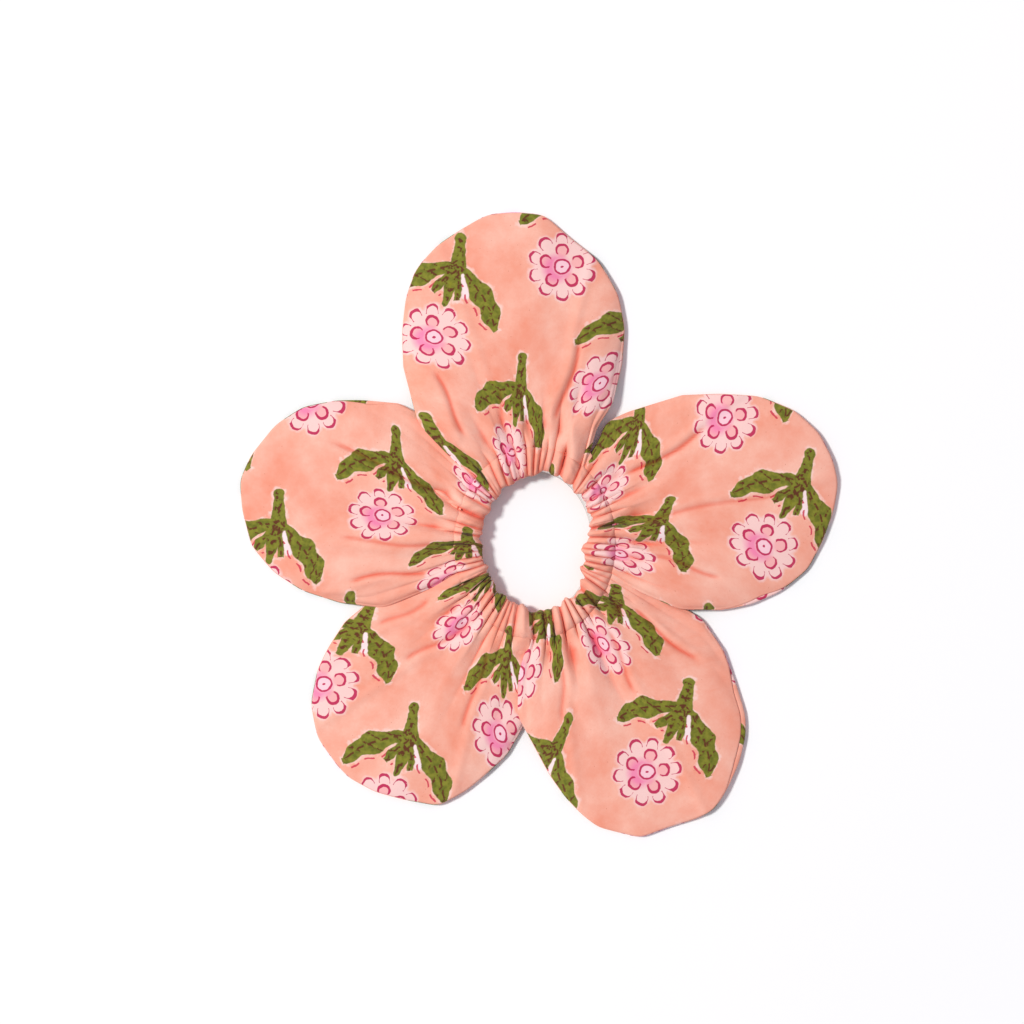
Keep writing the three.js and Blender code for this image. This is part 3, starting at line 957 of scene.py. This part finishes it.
def casing_length(key, start, end):
    """One gathered length of the casing, from one angle to another."""
    pleats = abs(pleat_phase(end) - pleat_phase(start)) / (2 * math.pi)
    columns = int(pleats * PLEAT_STEPS)
    angles = np.linspace(start, end, columns + 1)
    section = np.linspace(0, math.pi * 2, CASING_ROWS + 1)
    pinch = np.clip(1 - section / 0.7, 0, 1) ** 2 + np.clip(1 - (2 * math.pi - section) / 0.7, 0, 1) ** 2
    stand = pleat_height(angles)
    calm = np.clip(0.5 + 0.45 * swelling(angles) + 0.35 * soft_noise(angles * 11, 41), 0.15, 1.15)
    lean = 0.5 * np.sin(4.3 * angles) + 0.4 * np.sin(9.1 * angles + 1)
    tucks = ridges(1.9 * pleat_phase(angles) + 3)
    rows, valley = [], []
    for tau, pinched in zip(section, pinch):
        sign = 1 if tau < math.pi else -1
        inside = (1 - math.cos(tau)) / 2
        out = STITCH_LINE * (1 - inside) - CASING_HALF * inside
        out = out + wander(angles) * inside
        bulge = abs(math.sin(tau)) ** 0.75
        top = pinched * GATHER_LIFT + (1 - pinched) * CASING_HEIGHT * bulge
        share = pinched + (1 - pinched) * (0.5 + 0.4 * bulge)
        crumple = 0.2 * np.sin(23 * angles + 5 * tau) * np.sin(2.2 * tau + 9 * angles)
        crumple += 0.16 * np.sin(61 * angles + 3 * tau) * np.sin(3.1 * tau - 17 * angles)
        calmed = stand * (1 + (calm - 1) * inside) + 0.16 * tucks * (1 - calm) * (1 - pinched)
        swell = 0.5 * swelling(angles) * bulge * (1 - pinched)
        dip = np.clip(1 - min(tau, 2 * math.pi - tau) / 0.2, 0, 1)
        raised = (top + calmed * share + crumple + swell) * (bulge > 0)
        height = RING_Z + sign * (raised - 0.4 * dip)
        out = out + 0.5 * dip
        out = out - 0.22 * calmed * inside**2 + crumple * inside
        turned = angles + lean * inside * 0.06 + 0.012 * np.sin(pleat_phase(angles) + 0.6) * (1 - inside)
        x, y = ring_place(turned, out)
        rows.append(np.stack([x, y, height], axis=1))
        # painted shade in the hollows between the casing's pleats, most where they stand lowest
        valley.append(np.clip(0.5 - calmed / 1.1, 0, 1))
    shaped = np.stack(rows)
    lengths = np.linalg.norm(np.diff(shaped, axis=0), axis=2).mean(axis=1)
    inward = np.concatenate([[0], np.cumsum(lengths)])
    deepest = inward[CASING_ROWS // 2]
    order = [(0, 0), (0, 1), (1, 1), (1, 0)]
    faces, prints = gathered_faces(
        CASING_ROWS, angles, order[::-1] if end > start else order,
        lambda row, column, layer: inward[row] if layer == "front" else 2 * deepest - inward[row])
    piece = cloth_object("gathered_casing_" + key, shaped.reshape(-1, 3), faces, prints,
                         np.concatenate(valley))
    return piece


for key, parent, child, start, end in spans:
    casing = casing_length(key, start, end)
    follow_ring(casing, parent, child)
    replaced = ["casing_" + key] + (["casing_top"] if key == "right" else [])
    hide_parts(*replaced)


# ---------------------------------------------------------------------------------------------
# Valley webs. Between two petals' feet the double cotton runs on for a few millimetres outside the
# channel stitches, as the bottom of the notch between the petals. It lies folded inside the two
# feet, and shows only when the ring is stretched.

WEB_REACH = 8.2
WEB_HALF_ANGLE = math.radians(9)
WEB_HOLLOW = 4
WEB_COLUMNS = 44
WEB_ROWS = 18


def valley_web(key, start, end):
    """The notch's double cotton between two petals' feet, gathered with the ring."""
    middle = (start + end) / 2
    angles = np.linspace(middle - WEB_HALF_ANGLE, middle + WEB_HALF_ANGLE, WEB_COLUMNS + 1)
    across = np.linspace(-1, 1, WEB_COLUMNS + 1)
    rows, cut = [], []
    reach = WEB_REACH - WEB_HOLLOW * (1 - across**2)
    for tau in np.linspace(0, math.pi, WEB_ROWS + 1):
        out = STITCH_LINE - 0.6 + reach * math.sin(tau)
        height = 0.4 * (GATHER_LIFT + pleat_height(angles)) * math.cos(tau)
        x, y = ring_place(angles, out)
        rows.append(np.stack([x, y, RING_Z + height], axis=1))
        cut.append(-out + STITCH_LINE)
    shaped = np.stack(rows)
    faces, prints = gathered_faces(WEB_ROWS, angles, [(0, 0), (1, 0), (1, 1), (0, 1)],
                                   lambda row, column, layer: cut[row][column])
    # the webs get no painted fold shade
    no_fold_shade = np.zeros(shaped.shape[0] * shaped.shape[1])
    piece = cloth_object("valley_web_" + key, shaped.reshape(-1, 3), faces, prints, no_fold_shade)
    return piece


for key, parent, child, start, end in spans:
    web = valley_web(key, start, end)
    follow_ring(web, parent, child)


# ---------------------------------------------------------------------------------------------
# Elastic. One length of flat braided elastic lies in the casing, and its ends overlap at the top,
# where a zigzag joins them. It is the spring that draws the ring up.

ELASTIC_WIDTH = 5.0
ELASTIC_THICKNESS = 0.9
OVERLAP = 11.0
JOIN_ANGLE = PETALS["top"]["angle"]
BRAID_PITCH = 0.8
ELASTIC_TINT = (238, 234, 226)


def braid_look(material):
    """Ribs along the elastic with a fine braid across them."""
    shader = material.node_tree.nodes["Principled BSDF"]
    place = Wire(material.node_tree.nodes.new("ShaderNodeTexCoord").outputs["Object"])
    x = place.node("ShaderNodeSeparateXYZ", {0: place})
    y = Wire(x.socket.node.outputs[1])
    hole_x, hole_y = (float(c) * MM for c in HOLE)
    x, y = (x - hole_x) / (RING_X * MM), (y - hole_y) / (RING_Y * MM)
    out = length_of(x, y) * (RING_X / BRAID_PITCH * 2 * math.pi)
    along = x.math("ARCTAN2", y, x) * (RING_X / BRAID_PITCH * 2 * math.pi)
    braid = (out + along * 0.6).sine() * (out - along * 0.6).sine() * 0.5 + out.sine() * 0.5
    shade = (braid * 0.5 + 0.5).mixed(paint(*[c * 0.84 for c in ELASTIC_TINT]), ELASTIC_TINT)
    material.node_tree.links.new(shade.socket, shader.inputs["Base Color"])
    braid.as_relief(shader, 0.5, 0.0002)


braided_elastic = new_material("braided_elastic", Roughness=0.6)
braid_look(braided_elastic)


def elastic_length(key, start, end, out, height):
    """A length of the band, drawn on from its flat end section by section round the ring."""
    steps = max(2, int(abs(end - start) / math.radians(4)))
    angles = np.linspace(start, end, steps + 1)
    x, y = ring_place(angles, out)
    bpy.ops.object.select_all(action="DESELECT")
    upright = (math.pi / 2, 0, 0)
    bpy.ops.mesh.primitive_circle_add(vertices=12, radius=0.5 * MM, fill_type="NGON", rotation=upright)
    band = bpy.context.object
    band.name = "elastic_" + key
    bpy.ops.object.transform_apply(location=True, rotation=True, scale=True)
    bpy.ops.object.mode_set(mode="EDIT")
    bpy.ops.mesh.select_all(action="SELECT")
    bpy.ops.transform.resize(value=(ELASTIC_WIDTH, 1, ELASTIC_THICKNESS))
    place = Vector((x[0], y[0], height)) * MM
    bpy.ops.transform.translate(value=place)
    heading = math.atan2(y[1] - y[0], x[1] - x[0]) - math.pi / 2
    bpy.ops.transform.rotate(value=-heading, orient_axis="Z", center_override=place)
    for k in range(1, steps + 1):
        step = Vector((x[k] - x[k - 1], y[k] - y[k - 1], 0)) * MM
        bpy.ops.mesh.extrude_region_move(TRANSFORM_OT_translate={"value": step})
        place = place + step
        ahead = min(k + 1, steps)
        new_heading = math.atan2(y[ahead] - y[ahead - 1], x[ahead] - x[ahead - 1]) - math.pi / 2
        bpy.ops.transform.rotate(value=-turn_to(heading, new_heading), orient_axis="Z", center_override=place)
        heading = new_heading
    bpy.ops.mesh.select_all(action="SELECT")
    bpy.ops.mesh.normals_make_consistent(inside=False)
    bpy.ops.object.mode_set(mode="OBJECT")
    bpy.ops.object.shade_smooth()
    band.data.materials.append(braided_elastic)
    return band


for key, parent, child, start, end in spans:
    height = RING_Z
    if parent == "ring_top":
        # the two ends pass each other: one lies over the other across the join
        past = math.copysign(OVERLAP / 2 / RING_Y, start - end)
        start = start + past
        height += 0.55 if key == "right" else -0.55
    band = elastic_length(key, start, end, 0, height)
    follow_ring(band, parent, child)
    if key == "right":
        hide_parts("elastic_band")


# ---------------------------------------------------------------------------------------------
# Thread. Polyester thread in the cloth's colour: running stitches that part the casing from the
# petals, the seam inside each petal's edge, the zigzag across the elastic's ends, and the hand
# stitches that close the gap where the elastic went in.

STITCH = 2.0
STITCH_GAP = 0.9
THREAD = 0.36
CHANNEL_LIFT = 0.28
SEAM_INSET = 1.6
SEAM_HEIGHT = 1.55
ZIGZAGS = 10
ZIGZAG_PITCH = 1.6
ZIGZAG_HALF = 1.7
ZIGZAG_LIFT = 1.05
CLOSING_STITCHES = 9
CLOSING_PITCH = 1.9

thread = new_material("sewing_thread", Roughness=0.55)
thread_shader = thread.node_tree.nodes["Principled BSDF"]
thread_place = Wire(thread.node_tree.nodes.new("ShaderNodeTexCoord").outputs["Object"])
twist = thread_place.node("ShaderNodeTexWave", {"Vector": thread_place, "Scale": 900.0, "Distortion": 0.6},
                          output=1, bands_direction="DIAGONAL")
twist_shade = twist.mixed(paint(214, 132, 108), (246, 176, 152))
thread.node_tree.links.new(twist_shade.socket, thread_shader.inputs["Base Color"])
twist.as_relief(thread_shader, 0.4, 0.0001)

bpy.ops.object.select_all(action="DESELECT")
bpy.ops.mesh.primitive_cylinder_add(vertices=6, radius=THREAD / 2, depth=1, rotation=(0, math.pi / 2, 0))
one_stitch = bpy.context.object
bpy.ops.object.transform_apply(location=True, rotation=True, scale=True)
bpy.ops.object.mode_set(mode="EDIT")
bpy.ops.mesh.select_mode(type="FACE")
for side in (-1, 1):
    # each end turns down into the cloth
    bpy.ops.mesh.select_all(action="DESELECT")
    shape = bmesh.from_edit_mesh(one_stitch.data)
    for face in shape.faces:
        face.select = face.normal.x * side > 0.9
    bmesh.update_edit_mesh(one_stitch.data)
    bpy.ops.mesh.extrude_region_move(TRANSFORM_OT_translate={"value": (0.12 * side, 0, -THREAD * 0.35)})
    bpy.ops.transform.resize(value=(1, 0.75, 0.75))
    bpy.ops.mesh.extrude_region_move(TRANSFORM_OT_translate={"value": (0.05 * side, 0, -THREAD * 0.5)})
    bpy.ops.transform.resize(value=(1, 0.4, 0.4))
bpy.ops.object.mode_set(mode="OBJECT")
stitch_points = np.array([v.co for v in one_stitch.data.vertices])
stitch_faces = [list(face.vertices) for face in one_stitch.data.polygons]
bpy.data.objects.remove(one_stitch)


def sew(name, ends):
    """Stitches between pairs of places in millimetres, all one piece."""
    points, faces = [], []
    for start, end in ends:
        along = np.array(end, float) - start
        size = np.linalg.norm(along)
        along = along / size
        side = np.cross([0, 0, 1], along)
        side = side / np.linalg.norm(side)
        up = np.cross(along, side)
        base = len(points) * len(stitch_points)
        bent = stitch_points * [size * 0.86, 1, 1]
        points.append((np.array(start) + end) / 2 + bent @ np.stack([along, side, up]))
        faces += [[base + corner for corner in face] for face in stitch_faces]
    mesh = bpy.data.meshes.new(name)
    mesh.from_pydata((np.concatenate(points) * MM).tolist(), [], faces)
    mesh.shade_smooth()
    mesh.materials.append(thread)
    piece = placed(name, mesh)
    return piece


def running(line, lift=0.0):
    """Pairs of places for stitches along a line, with a gap after each."""
    along = distances(line)
    count = int(along[-1] / (STITCH + STITCH_GAP))
    starts = (np.arange(count) + 0.5) * along[-1] / count - STITCH / 2
    return list(zip(*(line_points(line, along, starts + more) + [0, 0, lift] for more in (0, STITCH))))


for key, parent, child, start, end in spans:
    angles = np.linspace(start, end, 60)
    x, y = ring_place(angles, STITCH_LINE)
    line = np.stack([x, y, np.full(60, RING_Z)], axis=1)
    channel = sew("channel_stitches_" + key, running(line, CHANNEL_LIFT) + running(line, -CHANNEL_LIFT))
    follow_ring(channel, parent, child)
    nodes = {"right": ["top", "right"], "closing": []}.get(key, [key])
    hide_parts(*["channel_stitch_" + node for node in nodes])

for name in PETALS:
    edge = petal_edge(name)
    seam = edge - outward(edge) * SEAM_INSET
    line = in_place(name, np.column_stack([seam, np.full(len(seam), SEAM_HEIGHT)]))
    seam_piece = sew("edge_seam_thread_" + name, running(line))
    fold_at_foot(seam_piece)
    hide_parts("edge_seam_" + name)

zigzag = []
for k in range(ZIGZAGS):
    for side in (-1, 1):
        a0 = JOIN_ANGLE + (k - ZIGZAGS // 2 + (side + 1) / 4) * ZIGZAG_PITCH / RING_Y
        a1 = a0 + ZIGZAG_PITCH / 2 / RING_Y
        ends = [ring_place(a0, side * ZIGZAG_HALF), ring_place(a1, -side * ZIGZAG_HALF)]
        zigzag.append([(*end, RING_Z + ZIGZAG_LIFT) for end in ends])
join = sew("elastic_join_zigzag", zigzag)
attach(join, "ring_top")
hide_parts("elastic_join_stitches")

closing = []
for k in range(CLOSING_STITCHES):
    angle = JOIN_ANGLE + (k - CLOSING_STITCHES // 2) * CLOSING_PITCH / RING_Y
    ends = [ring_place(angle, STITCH_LINE - 1.1), ring_place(angle + 0.9 / RING_Y, STITCH_LINE + 0.6)]
    height = RING_Z - GATHER_LIFT - float(pleat_height(angle)) - 0.35
    closing.append([(*end, height) for end in ends])
closing_piece = sew("closing_hand_stitches", closing)
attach(closing_piece, "ring_top")
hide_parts("closing_stitches")
